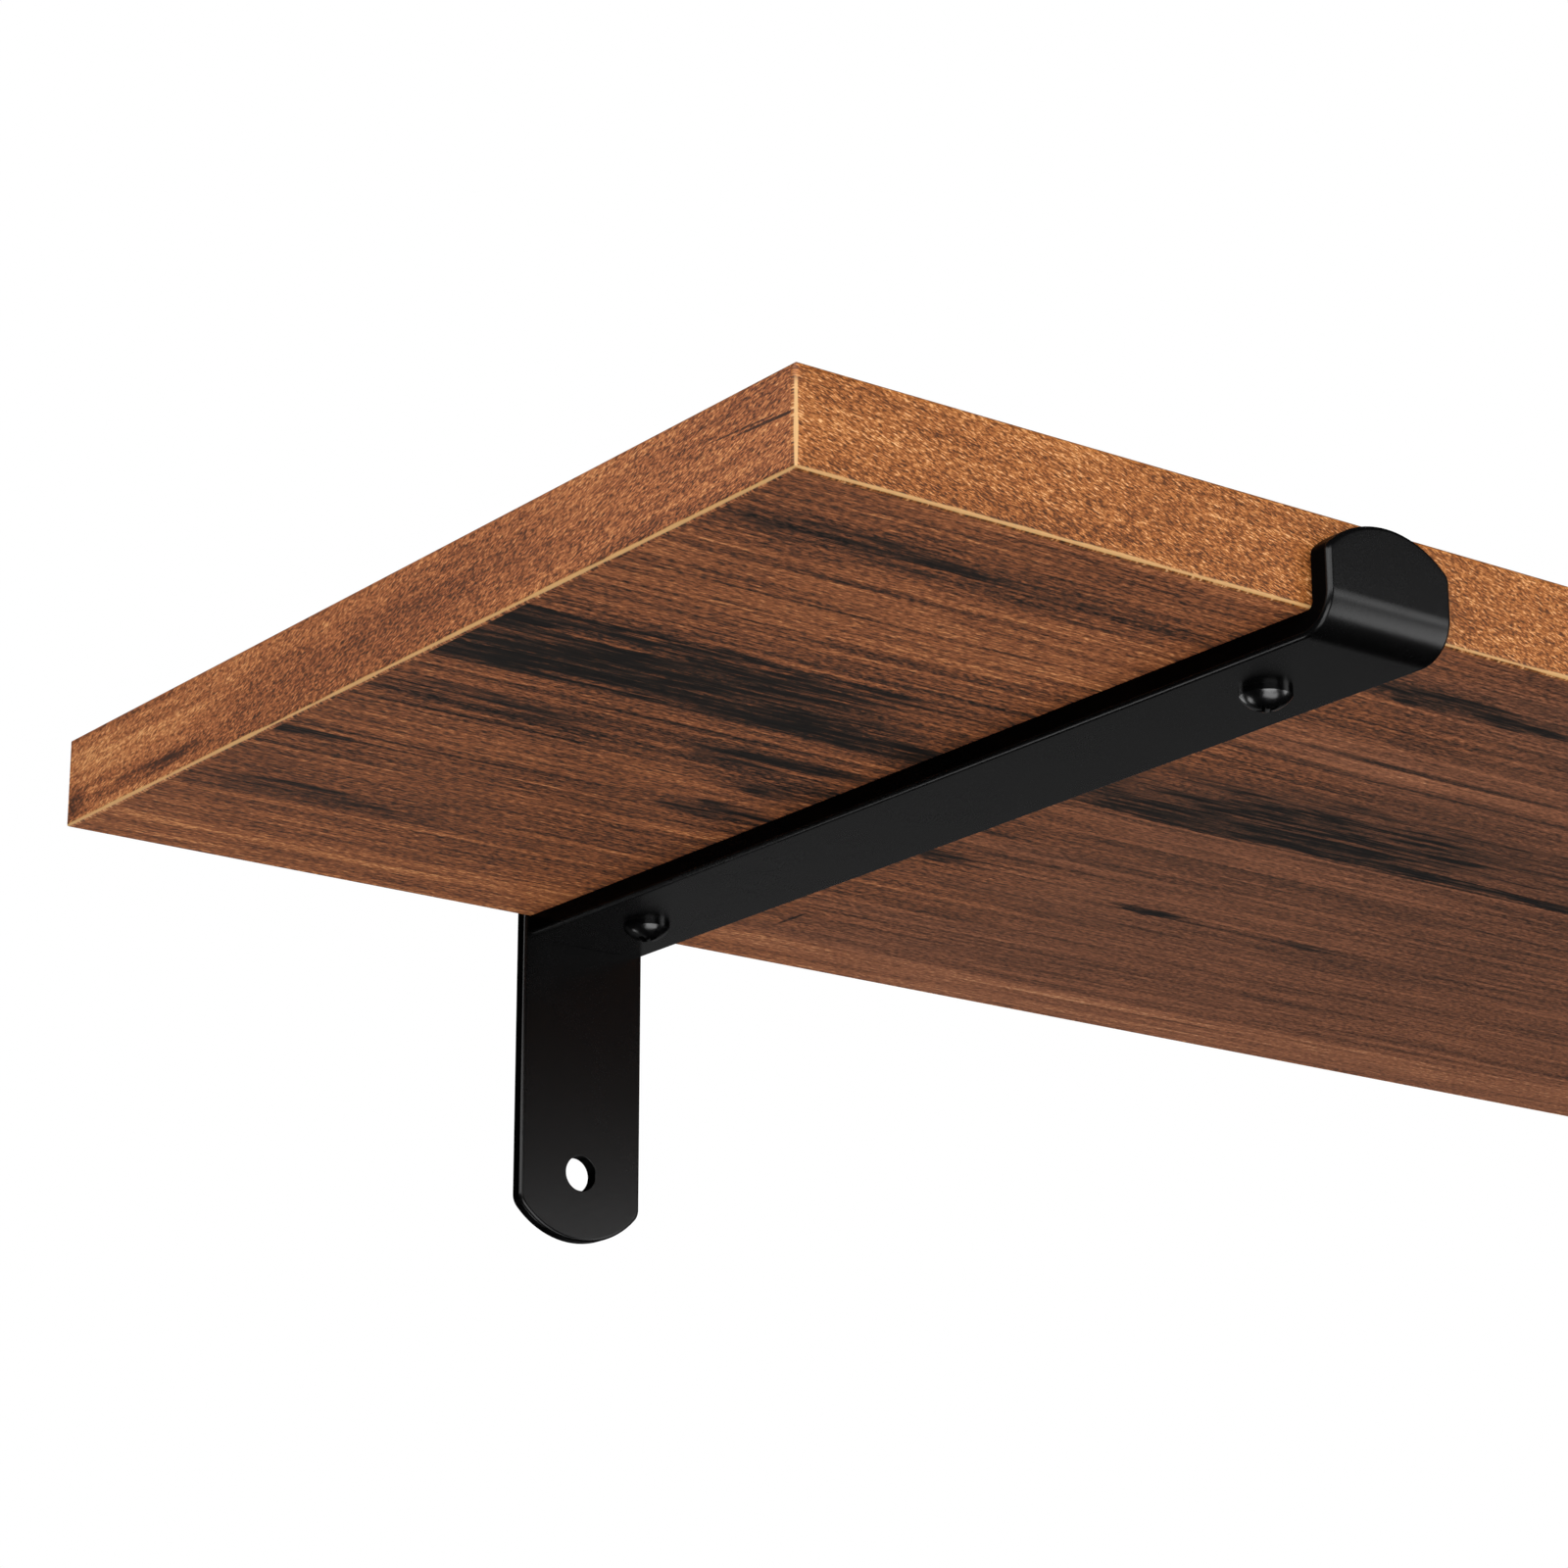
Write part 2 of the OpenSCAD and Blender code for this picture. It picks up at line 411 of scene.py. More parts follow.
# The black plank: its torn front edge, its straight back edge, and the two stretches of the shelf
# over which it turns from black to patchy and then fades, each with its strength before and after.
PLANK_FRONT = (62.5, 67.0)
PLANK_BACK = (89.6, 90.4)
PLANK_PATCHY = (48, 92, 0.68, 0.41)
PLANK_FADES = (210, 330, 1.0, 0.4)

# How far noise tears the edges of the patches, in mm.
TEAR_ALONG = 50
TEAR_ACROSS = 16

# Noise layers of the print: cycles per mm along and across the grain, seed, detail, roughness.
PRINT_LAYERS = {
    "streak": ((0.008, 0.40, 0), 3, 6, 0.68),
    "fibre": ((0.022, 1.2, 0), 4, 3, 0.65),
    "hair": ((0.07, 2.4, 0), 5, 2, 0.6),
    "broad": ((0.007, 0.06, 0), 7, 2, 0.5),
    "frayed": ((0.030, 0.22, 0), 8, 5, 0.7),
    "dash": ((0.06, 0.75, 0), 9, 3, 0.7),
}
SPECK_LAYER = ((0.7, 2.0, 0), 6, 2, 0.6)

# Two noises that make the grain wander across the board, and by how much in mm.
WANDER_LAYERS = {
    "drift": ((0.006, 0.03, 0), 1, 2),
    "waver": ((0.03, 0.12, 0), 2, 2),
}
WANDER = {"drift": 5, "waver": 1.2}

# How much each layer tells in the tone of the wood, and in the hatching that breaks up the black.
BROAD_WEIGHT = {"broad": 0.30}
TONE_WEIGHTS = {"streak": 1.05, "fibre": 0.75, "hair": 0.7, "speck": 1.3}
HATCH_WEIGHTS = {"dash": 4.5, "fibre": 2.2, "hair": 3.0, "speck": 1.6}
RELIEF_WEIGHTS = {"fibre": 0.3, "hair": 0.3, "speck": 0.4}

# How much a weathered patch darkens the wood before any black, how its strength turns into black,
# which hatched values come out black, and how much of the tone the black takes away.
STAIN_DARKENS = 0.14
STAIN_TO_BLACK = (0.0, 0.85, 0.0, 0.60)
BLACK_FROM = (0.30, 0.72)
BLACK_TAKES = 0.90

# Where the fibres let a dark line show, and how little and how much of it they show.
LINE_ON_FIBRE = (0.35, 0.55, 0.35, 1.0)

# The print turns duller, with less contrast, away from the left end: where, and how much.
DULL_SPREAD = {"broad": 120}
DULL_STRETCH = (90, 170, 0.0, 0.8)
DULL_CONTRAST_LOSS = 0.45

WOOD_SPECULAR = 0.2
WOOD_RELIEF = 0.06 * MM
RELIEF_STRENGTH = 0.5


def strip_tone(graph, across):
    node = graph.add("ShaderNodeValToRGB")
    points = node.color_ramp.elements
    while len(points) < len(STRIPS):
        points.new(0.5)
    for point, (place, tone) in zip(points, STRIPS):
        point.position = place / PRINT_DEPTH
        point.color = (tone, tone, tone, 1)
    graph.feed(node.inputs[0], across * (1 / PRINT_DEPTH))
    return Num(graph, node.outputs[0])


def print_layers(graph, along, across):
    """The noise layers of the print, by name."""
    layers = noise_layers(graph, graph.vector(along, across, 0.0), PRINT_LAYERS)
    slanted = graph.vector(along + across * 0.7, across - along * 0.15, 0.0)
    layers["speck"] = graph.noise(slanted, *SPECK_LAYER)
    return layers


def weathering(graph, along, across, layers):
    """How weathered the print is: the black plank and the patches, with torn edges."""
    torn_along = along + (layers["streak"] - 0.5) * TEAR_ALONG
    torn_across = across + (layers["frayed"] - 0.5) * TEAR_ACROSS
    stain = graph.step(torn_across, *PLANK_FRONT) * graph.step(across, *PLANK_BACK, 1.0, 0.0)
    stain = stain * graph.step(torn_along, *PLANK_PATCHY)
    stain = stain * graph.step(along, *PLANK_FADES)
    torn = graph.vector(torn_along, torn_across, 0.0)
    for centre, half, strength, soft in BLOTS:
        stain = stain + blot(graph, torn, centre, half, strength, soft)
    return stain


def print_tone(graph, along, across, layers, stain, dull):
    """Place on the wood's colour scale, from black at 0 to palest at 1."""
    tone = strip_tone(graph, across) + blend(layers, BROAD_WEIGHT) - stain * STAIN_DARKENS
    tone = tone + blend(layers, TONE_WEIGHTS) * (1 - dull * DULL_CONTRAST_LOSS)
    wood = graph.vector(along, across, 0.0)
    for centre, half, strength in LINES:
        line = blot(graph, wood, centre, half, strength, LINE_SOFT)
        tone = tone - line * graph.step(layers["fibre"], *LINE_ON_FIBRE)
    hatch = blend(layers, HATCH_WEIGHTS) + 1.0
    black = graph.step(graph.step(stain, *STAIN_TO_BLACK) * hatch, *BLACK_FROM)
    return tone * (1 - black * BLACK_TAKES)


def laminate(name, flip):
    """Printed wood laminate, its grain along the shelf. flip turns the pattern round for the top."""
    graph = Graph(name)
    place = graph.place()
    along = place[0] - BOARD_LOW.x / MM
    across = place[1] - BOARD_LOW.y / MM
    if flip:
        along = (BOARD_HIGH.x - BOARD_LOW.x) / MM - along
        across = (BOARD_HIGH.y - BOARD_LOW.y) / MM - across
    flat = graph.vector(along, across, 0.0)
    across = across + blend(noise_layers(graph, flat, WANDER_LAYERS), WANDER)

    layers = print_layers(graph, along, across)
    dull = graph.step(along + blend(layers, DULL_SPREAD), *DULL_STRETCH)
    stain = weathering(graph, along, across, layers)
    tone = print_tone(graph, along, across, layers, stain, dull)
    colour = graph.mix(dull, graph.ramp(tone, WOOD_TONES), graph.ramp(tone, DULL_TONES))
    colour = graph.mix(worn_edge(graph, place, flat), colour, rgb(*ARRIS_TAN))
    roughness = (layers["fibre"] - 0.5) * 0.3 + 0.58
    graph.set(Base_Color=colour, Roughness=roughness, Specular_IOR_Level=WOOD_SPECULAR)
    graph.relief(blend(layers, RELIEF_WEIGHTS) + 0.5, WOOD_RELIEF, RELIEF_STRENGTH)
    return graph.material


# Darker marks on the bands: centre and half size in mm along the band and up from its foot, strength.
FRONT_STAINS = (
    ((36, 2.6), (40, 1.6), 0.16),
    ((86, 7), (36, 8), 0.05),
    ((120, 12), (30, 1.5), 0.08),
    ((250, 5), (60, 2.5), 0.12),
    ((430, 9), (70, 2.0), 0.12),
    ((560, 4), (30, 2.0), 0.14),
)
END_STAINS = (
    ((112, 5), (50, 5.5), 0.14),
    ((86, 9), (20, 3), 0.10),
    ((172, 3.0), (16, 1.1), 0.50),
    ((168, 2.7), (6, 0.7), 0.50),
    ((199, 3.5), (5, 2.5), 0.50),
    ((180, 9), (30, 6), -0.14),
)
STAIN_SOFT = 0.7

# Cracks in the end band: centre, half size.
END_CRACKS = (
    ((4, 8.0), (9, 0.22)),
    ((12, 8.6), (7, 0.16)),
)
CRACK_STRENGTH = 0.6
CRACK_SOFT = 0.3
CRACK_SLOPE = 0.04

# The two kinds of band: its axis, slope of its flecks, how bright its painted glints are, colours and
# marks.
LONG_BAND = {
    "axis": 0,
    "slope": 0.25,
    "glint": 1.0,
    "tones": LONG_BAND_TONES,
    "stains": FRONT_STAINS,
    "cracks": (),
}
END_BAND = {
    "axis": 1,
    "slope": 0.3,
    "glint": 0.7,
    "tones": END_BAND_TONES,
    "stains": END_STAINS,
    "cracks": END_CRACKS,
}

# Noise layers of a band: its painted glints and dark flecks, on a slant, and its grain, straight along
# it.
GLINT_AND_FLECK_LAYERS = {
    "glints_and_flecks": ((0.85, 3.8, 0), 11, 1),
    "fine": ((1.6, 5.5, 0), 12, 1),
}
GRAIN_LAYERS = {
    "streak": ((0.02, 0.6, 0), 13, 4, 0.6),
    "broad": ((0.025, 0.12, 0), 14, 2),
}
BAND_WEIGHTS = {"fine": 1.8, "streak": 0.8, "broad": 0.30}
BAND_RELIEF_WEIGHTS = {"glints_and_flecks": 0.6, "fine": 0.4}
BAND_TONE = 0.41

# Which noise values are bright flecks, which are painted glints, and dark flecks of the print, and what
# those do to the tone.
PAINTED_GLINT = (0.50, 0.66, 0.0, 0.28)
DARK_FLECK = (0.32, 0.46, 0.16, 0.0)

# Where the streaks let a stain show.
STAIN_ON_STREAK = (0.32, 0.58)

# Heights in mm above the board's middle: where the tan edges end, which keeps them off the top edge, and
# where the top edge turns brown with painted shade.
TAN_ENDS = (4.0, 6.0, 1.0, 0.0)
PAINTED_SHADE_STARTS = (7.0, 7.25, 0.0, 0.6)


def band_marks(graph, along, up, streak, stains, cracks):
    """What the stains and cracks take off the tone of a band."""
    band = graph.vector(along, up, 0.0)
    parts = [blot(graph, band, *stain, STAIN_SOFT) for stain in stains]
    marks = sum(parts[1:], parts[0]) * graph.step(streak, *STAIN_ON_STREAK)
    level = graph.vector(along, up - along * CRACK_SLOPE, 0.0)
    for centre, half in cracks:
        marks = marks + blot(graph, level, centre, half, CRACK_STRENGTH, CRACK_SOFT)
    return marks


def banding(name, axis, slope, glint, tones, stains, cracks):
    """Edge banding: the same wood printed finer, its grain along the band, with short bright flecks
    painted as glints, and painted shade along its top edge.
    """
    graph = Graph(name)
    place = graph.place()
    height = place[2]
    along = place[axis] - BOARD_LOW[axis] / MM
    up = height - BOARD_LOW.z / MM
    band = graph.vector(along, up, 0.0)
    slanted = graph.vector(along, up + along * slope, 0.0)
    layers = noise_layers(graph, slanted, GLINT_AND_FLECK_LAYERS)
    layers.update(noise_layers(graph, band, GRAIN_LAYERS))
    # Painted glints: bright flecks raise the band's tone; the dark flecks of the print lower it.
    glints_and_dark_flecks = graph.step(layers["glints_and_flecks"], *PAINTED_GLINT) - graph.step(layers["glints_and_flecks"], *DARK_FLECK)
    tone = glints_and_dark_flecks * glint + blend(layers, BAND_WEIGHTS) + BAND_TONE
    tone = tone - band_marks(graph, along, up, layers["streak"], stains, cracks)

    tan = worn_edge(graph, place, band) * graph.step(height, *TAN_ENDS)
    colour = graph.mix(tan, graph.ramp(tone, tones), rgb(*ARRIS_TAN))
    # Painted shade: the top edge of the band turns dark brown, as if unlit from above.
    colour = graph.mix(graph.step(height, *PAINTED_SHADE_STARTS), colour, rgb(*TOP_EDGE_PAINTED_SHADE))
    roughness = (layers["fine"] - 0.5) * 0.3 + 0.5
    graph.set(Base_Color=colour, Roughness=roughness, Specular_IOR_Level=WOOD_SPECULAR)
    graph.relief(blend(layers, BAND_RELIEF_WEIGHTS) + 0.5, WOOD_RELIEF, RELIEF_STRENGTH)
    return graph.material


# Colours and relief of the core's chips.
CHIP_TONES = (
    (0.0, (150, 112, 72)),
    (0.5, (188, 150, 104)),
    (1.0, (214, 182, 136)),
)
CHIP_RELIEF = 0.3 * MM


def chipboard(name):
    """Pressed wood chips of the core."""
    graph = Graph(name)
    place = graph.vector(*graph.place())
    chips = graph.add("ShaderNodeTexVoronoi")
    graph.feed(chips.inputs["Vector"], graph.scaled(place, (0.3, 0.5, 1.1)))
    chips.inputs["Scale"].default_value = 1.0
    shade = graph.add("ShaderNodeSeparateColor")
    graph.links.new(chips.outputs["Color"], shade.inputs[0])
    tone = Num(graph, shade.outputs[0])
    graph.set(Base_Color=graph.ramp(tone, CHIP_TONES), Roughness=tone * 0.2 + 0.7)
    graph.relief(tone, CHIP_RELIEF, 0.4)
    return graph.material


# ---------------------------------------------------------------- steel

# Noise layers of the powder coat: cycles per mm each way, seed, detail.
COAT_LAYERS = {
    "peel": ((0.9, 0.9, 0.9), 21, 2),
    "grain": ((4.0, 4.0, 4.0), 22, 1),
    "cloud": ((0.05, 0.05, 0.05), 23, 3),
}
COAT_RELIEF = 0.03 * MM
LACQUER_NOISE = ((0.8, 0.8, 0.8), 31, 3)
LACQUER_TONES = ((0.3, (6, 6, 7)), (0.7, (10, 10, 11)))
LACQUER_RELIEF = 0.02 * MM


def powder_coat(name, dark, pale, specular):
    """Satin black powder coat with a fine orange peel. dark and pale are 8-bit grey levels."""
    graph = Graph(name)
    layers = noise_layers(graph, graph.vector(*graph.place()), COAT_LAYERS)
    tones = ((0.3, (dark, dark, dark)), (0.7, (pale, pale, pale + 1)))
    colour = graph.ramp(layers["cloud"] * 0.6 + layers["grain"] * 0.4, tones)
    roughness = layers["cloud"] * 0.08 + layers["grain"] * 0.05 + 0.20
    graph.set(Base_Color=colour, Roughness=roughness, Specular_IOR_Level=specular)
    graph.relief(layers["peel"] * 0.75 + layers["grain"] * 0.25, COAT_RELIEF, 0.35)
    return graph.material


def screw_black(name):
    """Glossy black lacquer on the screws, slightly mottled."""
    graph = Graph(name)
    mottle = graph.noise(graph.vector(*graph.place()), *LACQUER_NOISE)
    graph.set(Base_Color=graph.ramp(mottle, LACQUER_TONES), Roughness=mottle * 0.12 + 0.16)
    graph.relief(mottle, LACQUER_RELIEF, 0.25)
    return graph.material


# ---------------------------------------------------------------- rounded plate meshes

# An outline is a list of points (x, s, outward x, outward s), with s along the bar.

def arc(x, s, radius, start, end, steps):
    points = []
    for i in range(steps + 1):
        angle = start + (end - start) * i / steps
        nx = math.cos(angle)
        ns = math.sin(angle)
        points.append((x + radius * nx, s + radius * ns, nx, ns))
    return points


def rounded_tip(half, end_r, corner_r, tip):
    """Outline of a bar's end from right to left: a wide arc that meets the sides in small corner arcs."""
    reach = math.sqrt((end_r - corner_r) ** 2 - (half - corner_r) ** 2)
    centre = tip - end_r
    turn = math.atan2(reach, half - corner_r)
    right = arc(half - corner_r, centre + reach, corner_r, 0, turn, CORNER_STEPS)
    middle = arc(0, centre, end_r, turn, math.pi - turn, TIP_STEPS)
    left = arc(corner_r - half, centre + reach, corner_r, math.pi - turn, math.pi, CORNER_STEPS)
    return right + middle[1:-1] + left


def round_hole(x, s, radius):
    """Outline of a hole, whose outward direction points away from the metal to the hole's middle."""
    ring = arc(x, s, radius, 0, 2 * math.pi, HOLE_POINTS)[:-1]
    return [(px, ps, -nx, -ns) for px, ps, nx, ns in ring]


def slot_hole(x0, x1, s0, s1):
    return [(x0, s0, 1, 1), (x1, s0, -1, 1), (x1, s1, -1, -1), (x0, s1, 1, -1)]


def rounding(radius):
    """How far in, and how deep, each ring of a rounded edge lies, from the flat to the side."""
    angles = [math.pi / 2 * i / ROUND_STEPS for i in range(ROUND_STEPS + 1)]
    return [(radius * (1 - math.sin(a)), radius * (1 - math.cos(a))) for a in angles]


def edge_profile(thickness, near_r, far_r):
    far = [(inset, thickness - depth) for inset, depth in reversed(rounding(far_r))]
    return rounding(near_r) + far


def edge_rings(bm, points, profile):
    """The side wall along one outline. Its flat ring gets the second material, a darker, duller copy of
    the coat that is painted shade.

    Returns the edge loops on the near and the far face."""
    rings = []
    for inset, depth in profile:
        ring = [bm.verts.new((x - nx * inset, s - ns * inset, depth)) for x, s, nx, ns in points]
        rings.append(ring)
    count = len(points)
    for step, (near, far) in enumerate(zip(rings, rings[1:])):
        for i in range(count):
            j = (i + 1) % count
            face = bm.faces.new((near[i], near[j], far[j], far[i]))
            # The flat ring takes the painted-shade copy of the coat.
            face.material_index = int(step == ROUND_STEPS)
    return [[bm.edges.get((ring[i], ring[(i + 1) % count])) for i in range(count)]
            for ring in (rings[0], rings[-1])]


def plate_mesh(outlines, thickness):
    """A flat plate as bmesh: x across, y along and z into its thickness.

    Each outline is its points and the edge radius on the near and the far side."""
    bm = bmesh.new()
    near_edges = []
    far_edges = []
    for points, near_r, far_r in outlines:
        near, far = edge_rings(bm, points, edge_profile(thickness, near_r, far_r))
        near_edges += near
        far_edges += far
    for edges in (near_edges, far_edges):
        bmesh.ops.triangle_fill(bm, edges=edges, use_beauty=True)
    return bm


def face_outwards(bm):
    """Turns every face outwards; on a thin plate the recalculation alone can turn them all inwards."""
    bmesh.ops.recalc_face_normals(bm, faces=bm.faces)
    if bm.calc_volume(signed=True) < 0:
        bmesh.ops.reverse_faces(bm, faces=bm.faces)


def finish_piece(bm, name, materials, node):
    """Turns a bmesh in the row frame into a smooth-shaded steel piece that stands for a CAD node."""
    face_outwards(bm)
    mesh = bpy.data.meshes.new(name)
    bm.to_mesh(mesh)
    bm.free()
    for face in mesh.polygons:
        face.use_smooth = True
    for material in materials:
        mesh.materials.append(material)
    piece = bpy.data.objects.new(name, mesh)
    bpy.context.scene.collection.objects.link(piece)
    shade = piece.modifiers.new("even", "WEIGHTED_NORMAL")
    shade.weight = 100
    shade.keep_sharp = True
    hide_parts(node)
    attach(piece, "root")


def wall_plate(side, materials):
    node = f"{side}_wall_plate"
    low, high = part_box(node)
    arm_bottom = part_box(f"{side}_hooked_arm")[0].z
    middle = (low.x + high.x) / 2
    half = (high.x - low.x) / 2
    tenon = TENON_WIDTH / 2
    hole = high.z - WALL_HOLE_END
    top = rounded_tip(half, PLATE_END_R, PLATE_CORNER_R, high.z)
    bottom = [(-x, -s, -nx, -ns) for x, s, nx, ns in top]
    outlines = [
        (top + bottom, PLATE_EDGE_R, BACK_EDGE_R),
        (round_hole(0, hole, WALL_HOLE_R), HOLE_EDGE_R, SLOT_EDGE_R),
        (round_hole(0, -hole, WALL_HOLE_R), HOLE_EDGE_R, SLOT_EDGE_R),
        (slot_hole(-tenon, tenon, arm_bottom, BOARD_LOW.z), SLOT_EDGE_R, SLOT_EDGE_R),
    ]
    bm = plate_mesh(outlines, high.y - low.y)
    for vertex in bm.verts:
        x, s, depth = vertex.co
        vertex.co = (middle + x, low.y + depth, s)
    finish_piece(bm, f"{side}_plate", materials, node)


class Arm:
    """Measures of one hooked arm, taken from the frame. s runs from the wall plate to the hook's tip."""

    def __init__(self, side):
        low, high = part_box(f"{side}_hooked_arm")
        self.side = side
        self.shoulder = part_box(f"{side}_wall_plate")[0].y
        self.middle = (low.x + high.x) / 2
        self.half = (high.x - low.x) / 2
        self.top = BOARD_LOW.z
        self.thick = self.top - low.z
        self.inner = low.y + self.thick
        self.straight = self.shoulder - (self.inner + BEND_R)
        self.turn = math.pi / 2 * (BEND_R + self.thick / 2)
        self.tip = self.straight + self.turn + high.z - (self.top + BEND_R)
        self.root = self.shoulder - high.y

    def outline(self):
        """The arm cut out flat: rounded at the hook's tip, with a tenon at the other end."""
        tenon = TENON_WIDTH / 2
        sunk = self.root * SHOULDER_SUNK
        points = rounded_tip(self.half, HOOK_END_R, HOOK_CORNER_R, self.tip)
        points += [(-self.half, sunk, -1, -1), (-tenon, sunk, -1, -1), (-tenon, self.root, -1, -1)]
        points += [(tenon, self.root, 1, -1), (tenon, sunk, 1, -1), (self.half, sunk, 1, -1)]
        return points

    def screw_holes(self):
        for end in ("front", "rear"):
            low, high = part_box(f"{self.side}_{end}_screw")
            yield round_hole(0, self.shoulder - (low.y + high.y) / 2, SCREW_HOLE_R)

    def cuts(self):
        """Where the flat arm is cut across so that it can bend."""
        places = [self.straight + self.turn * i / BEND_STEPS for i in range(BEND_STEPS + 1)]
        return places + [self.straight - BEND_EASE, self.straight + self.turn + BEND_EASE]

    def bent(self, s, depth):
        """The y and z of a point of the flat arm once the hook is bent up."""
        growth = (BEND_OUTER_R - BEND_R) / self.thick
        radius = BEND_R + depth * growth
        slip = depth * (growth - 1)
        before = self.straight - s
        after = -before - self.turn
        if before >= 0:
            y = self.shoulder - s + slip * max(0, 1 - before / BEND_EASE)
            return y, self.top - depth
        if after <= 0:
            angle = -before / self.turn * math.pi / 2
            y = self.inner - depth + radius * (1 - math.sin(angle))
            z = self.top - depth + radius * (1 - math.cos(angle))
            return y, z
        z = self.top + BEND_R + after + slip * max(0, 1 - after / BEND_EASE)
        return self.inner - depth, z


def hooked_arm(side, materials):
    """The arm is cut out flat, then bent up at its front end."""
    arm = Arm(side)
    outlines = [(arm.outline(), BACK_EDGE_R, ARM_EDGE_R)]
    outlines += [(hole, HOLE_EDGE_R, HOLE_EDGE_R) for hole in arm.screw_holes()]
    bm = plate_mesh(outlines, arm.thick)
    for place in arm.cuts():
        geometry = bm.verts[:] + bm.edges[:] + bm.faces[:]
        bmesh.ops.bisect_plane(bm, geom=geometry, dist=1e-6, plane_co=(0, place, 0), plane_no=(0, 1, 0))
    for vertex in bm.verts:
        x, s, depth = vertex.co
        vertex.co = (arm.middle + x, *arm.bent(s, depth))
    finish_piece(bm, f"{side}_arm", materials, f"{side}_hooked_arm")


# ---------------------------------------------------------------- build

def dress(node, material):
    """Gives a CAD node its finish."""
    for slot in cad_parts[node].material_slots:
        slot.material = material


long_band = banding("long_band_wood", **LONG_BAND)
end_band = banding("end_band_wood", **END_BAND)
coat = powder_coat("black_powder_coat", 6, 10, 0.16)
# Painted shade: a darker, duller copy of the coat for the flat side walls of the bars and their holes,
# which keeps them black.
side_wall_painted_shade = powder_coat("black_side_wall_painted_shade", 3, 5, 0.01)
lacquer = screw_black("black_screw")
dress("board_core", chipboard("chipboard_core"))
dress("top_laminate", laminate("top_print", True))
dress("bottom_laminate", laminate("bottom_print", False))
dress("front_edge_band", long_band)
dress("back_edge_band", long_band)
dress("left_edge_band", end_band)
dress("right_edge_band", end_band)
for side in ("left", "right"):
    wall_plate(side, (coat, side_wall_painted_shade))
    hooked_arm(side, (coat, side_wall_painted_shade))
    dress(f"{side}_front_screw", lacquer)
    dress(f"{side}_rear_screw", lacquer)


# ---------------------------------------------------------------- floor, light, camera

FLOOR_DROP = 1.0
FLOOR_SIZE = 8.0
FLOOR_LAYER_GAP = 0.01


def plane(name, material, drop):
    bm = bmesh.new()
    bmesh.ops.create_grid(bm, x_segments=2, y_segments=2, size=FLOOR_SIZE / 2)
    mesh = bpy.data.meshes.new(name)
    bm.to_mesh(mesh)
    bm.free()
    mesh.materials.append(material)
    piece = bpy.data.objects.new(name, mesh)
    piece.location = (0, 0, -drop)
    bpy.context.scene.collection.objects.link(piece)
    return piece


def floor():
    """A pale floor in two layers: one that bounces light, and one above it for the camera alone."""
    pale = Graph("pale_floor")
    pale.set(Base_Color=rgb(238, 238, 236), Roughness=0.8)
    bounce = plane("floor", pale.material, FLOOR_DROP)
    bounce.visible_camera = False
    bounce.visible_glossy = False
    even = Graph("even_floor")
    even.set(Base_Color=rgb(0, 0, 0), Roughness=1.0, Specular_IOR_Level=0.0)
    even.set(Emission_Color=rgb(232, 232, 230), Emission_Strength=1.0)
    seen = plane("floor_face", even.material, FLOOR_DROP - FLOOR_LAYER_GAP)
    seen.visible_diffuse = False
    seen.visible_glossy = False
    seen.visible_transmission = False
    seen.visible_shadow = False


def lamp_panel(name, towards, distance, size, power):
    """A rectangular lamp off in one direction, out of the camera's sight."""
    lamp = bpy.data.lights.new(name, "AREA")
    lamp.shape = "RECTANGLE"
    lamp.size, lamp.size_y = size
    lamp.energy = power
    piece = bpy.data.objects.new(name, lamp)
    away = Vector(towards).normalized()
    aim = (cad_box[0] + cad_box[1]) / 2
    piece.location = aim + away * distance
    piece.rotation_euler = away.to_track_quat("Z", "Y").to_euler()
    piece.visible_camera = False
    bpy.context.scene.collection.objects.link(piece)
    return piece


def softbox(name, towards, distance, size, level):
    """Light without a reflection of its own. level is how bright it makes a white surface facing it."""
    piece = lamp_panel(name, towards, distance, size, level * (math.pi * distance) ** 2)
    piece.visible_glossy = False


def card(name, towards, distance, size, radiance):
    """A panel that shows in glossy surfaces and lights nothing else."""
    piece = lamp_panel(name, towards, distance, size, radiance * math.pi * size[0] * size[1])
    piece.visible_diffuse = False


def background(nodes, brightness, strength):
    node = nodes.new("ShaderNodeBackground")
    node.inputs["Color"].default_value = (brightness, brightness, brightness, 1)
    node.inputs["Strength"].default_value = strength
    return node


def choose(world, ray, otherwise, chosen):
    """One background for the rays of one kind, another for the rest."""
    nodes, links = world.node_tree.nodes, world.node_tree.links
    mix = nodes.new("ShaderNodeMixShader")
    links.new(ray, mix.inputs[0])
    links.new(otherwise.outputs[0], mix.inputs[1])
    links.new(chosen.outputs[0], mix.inputs[2])
    return mix


def white_world(ambient):
    """White behind the shelf; as a light it is only a dim, even fill that doesn't show in reflections."""
    world = bpy.data.worlds.new("studio")
    world.use_nodes = True
    nodes, links = world.node_tree.nodes, world.node_tree.links
    nodes.clear()
    rays = nodes.new("ShaderNodeLightPath").outputs
    fill = background(nodes, 1, ambient)
    lit = choose(world, rays["Is Glossy Ray"], fill, background(nodes, 0, 1))
    whole = choose(world, rays["Is Camera Ray"], lit, background(nodes, 1, 1))
    out = nodes.new("ShaderNodeOutputWorld")
    links.new(whole.outputs[0], out.inputs[0])
    bpy.context.scene.world = world


# The camera's compass turn from +Y towards +X, its upward tilt, the point it aims at and its lens.
CAMERA_TURN = math.radians(36.646)
CAMERA_LIFT = math.radians(17.421)
CAMERA_AIM = Vector((-0.0470, 0.1401, 0.0832))
CAMERA_AWAY = 1.0
CAMERA_LENS = 100.72


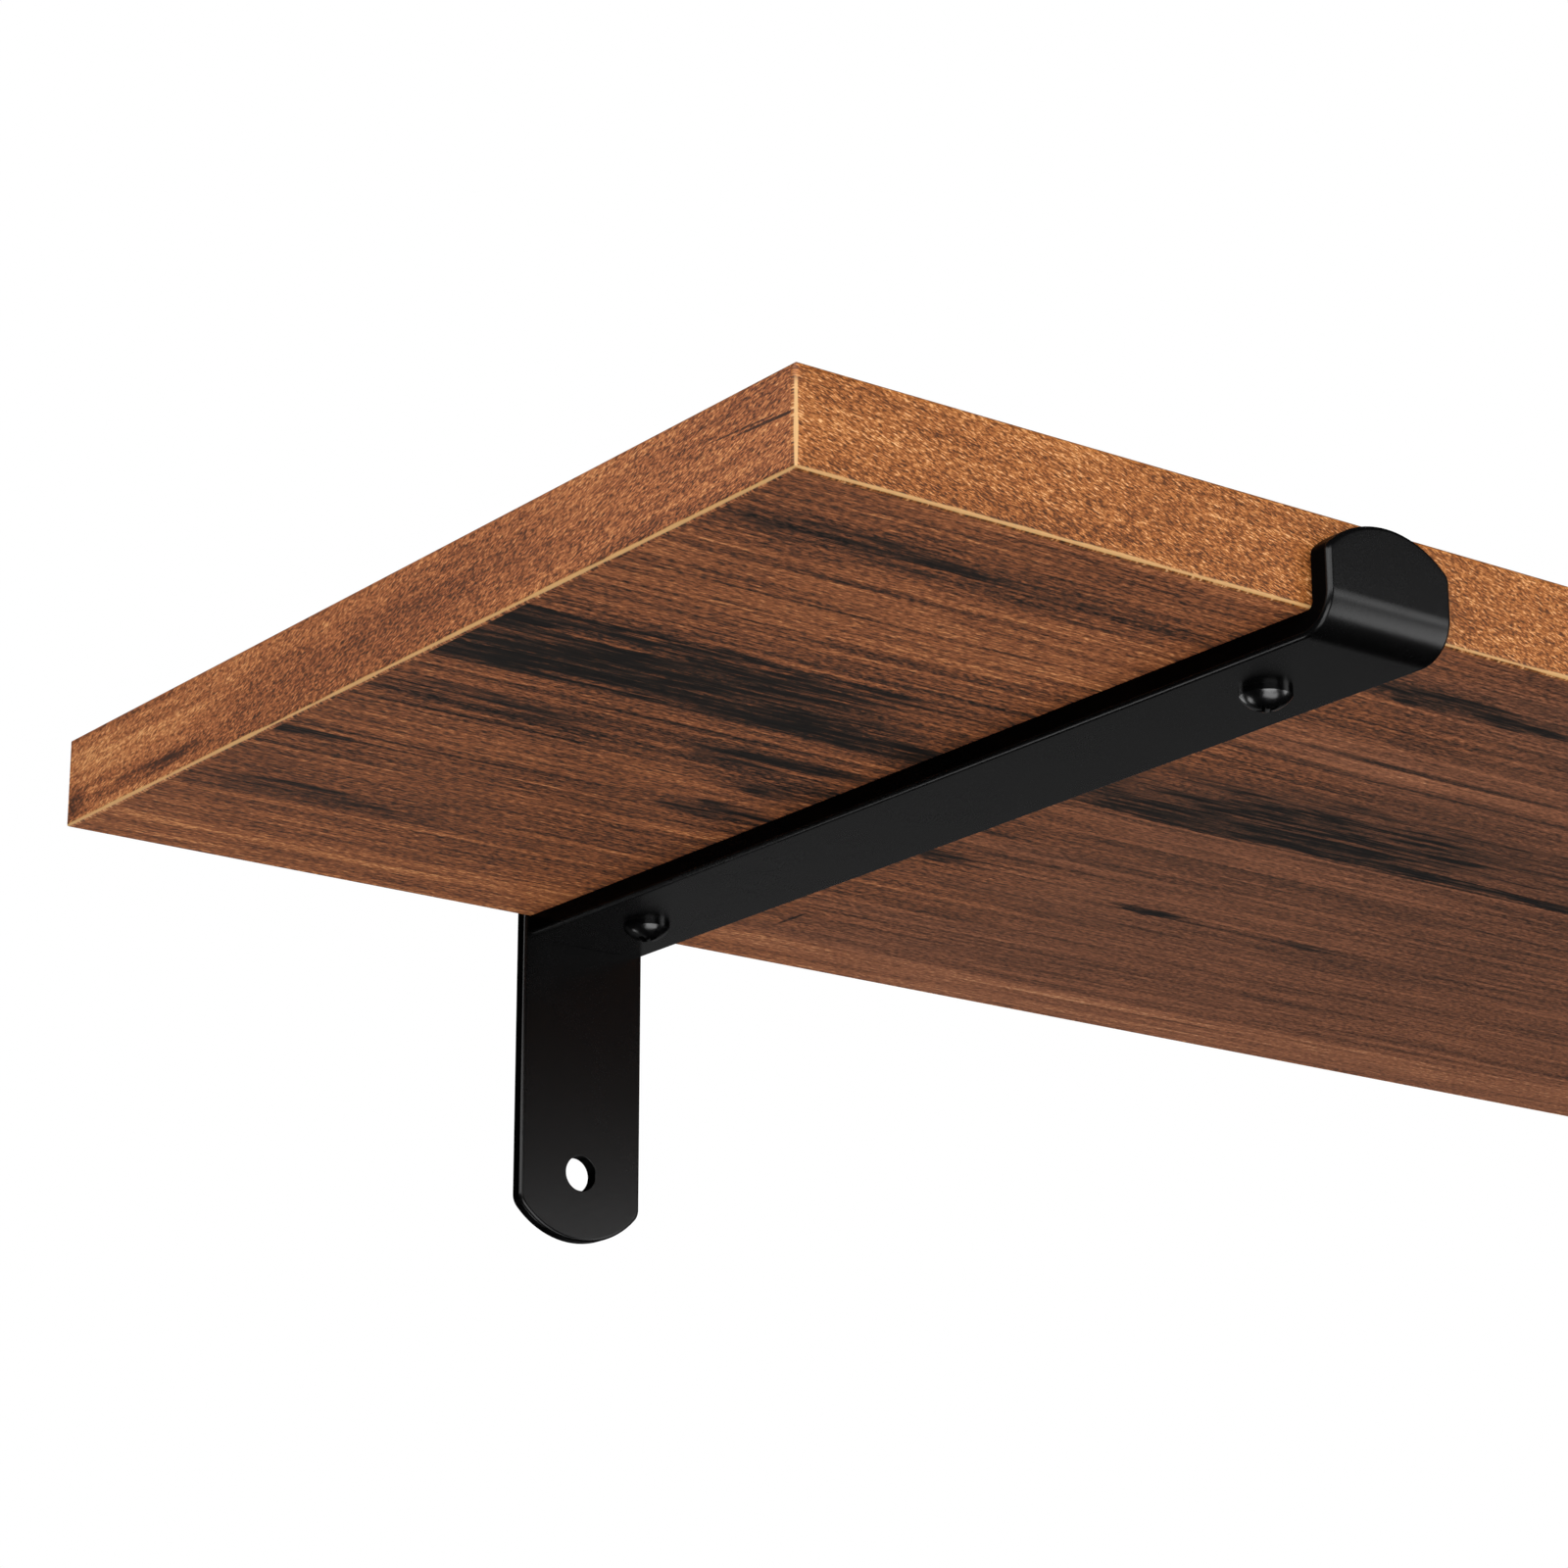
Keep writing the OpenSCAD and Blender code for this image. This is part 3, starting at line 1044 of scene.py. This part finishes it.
def camera():
    """Low on the left, looking up and to the right at the shelf's left end."""
    data = bpy.data.cameras.new("camera")
    data.sensor_width = 36
    data.lens = CAMERA_LENS
    data.clip_start = 0.01
    piece = bpy.data.objects.new("camera", data)
    level = math.cos(CAMERA_LIFT)
    across = math.sin(CAMERA_TURN) * level
    inward = math.cos(CAMERA_TURN) * level
    forward = Vector((across, inward, math.sin(CAMERA_LIFT)))
    piece.location = CAMERA_AIM - forward * CAMERA_AWAY
    piece.rotation_euler = forward.to_track_quat("-Z", "Y").to_euler()
    bpy.context.scene.collection.objects.link(piece)
    bpy.context.scene.camera = piece


floor()
white_world(0.08)
# Each lamp: direction from the shelf, distance and size in metres, then its level or radiance.
softbox("left", (-0.88, -0.42, 0.22), 1.8, (1.2, 0.9), 0.55)
softbox("front", (0.10, -0.95, 0.25), 1.6, (1.2, 0.6), 0.50)
softbox("low", (-0.30, -0.45, -0.84), 1.05, (0.6, 0.6), 0.12)
softbox("top", (0.1, -0.1, 1.0), 1.6, (1.4, 1.0), 0.55)
softbox("right_back", (0.9, 0.5, 0.3), 2.0, (1.0, 1.0), 0.5)
card("left_card", (-1.0, -0.05, 0.30), 1.8, (2.2, 0.8), 6.0)
card("front_left_card", (-0.50, -0.86, 0.30), 1.8, (1.9, 0.8), 6.0)
card("corner_card", (-0.38, -0.70, -0.62), 1.3, (1.0, 0.8), 7.0)
card("bend_card", (0.657, -0.61, -0.40), 1.6, (0.7, 0.80), 6.0)
card("bend_glow", (0.657, -0.745, -0.03), 1.6, (0.7, 0.50), 2.2)
card("bend_fade", (0.657, -0.735, 0.16), 1.6, (0.7, 0.30), 0.8)
card("high_card", (0.62, -0.70, 0.44), 1.7, (1.4, 0.7), 0.26)
card("plate_card", (0.53, -0.84, 0.12), 1.7, (0.4, 0.45), 4.2)
card("low_card", (-0.12, -0.36, -0.85), 1.05, (0.8, 0.35), 4.5)
card("back_card", (0.60, 0.74, -0.26), 2.0, (1.6, 1.2), 0.13)
card("under_card", (-0.35, 0.63, -0.69), 1.05, (0.35, 0.20), 4.5)
card("rear_card", (-0.15, 0.96, -0.24), 2.0, (1.2, 0.5), 2.5)
camera()
bpy.context.scene.view_settings.view_transform = "Standard"
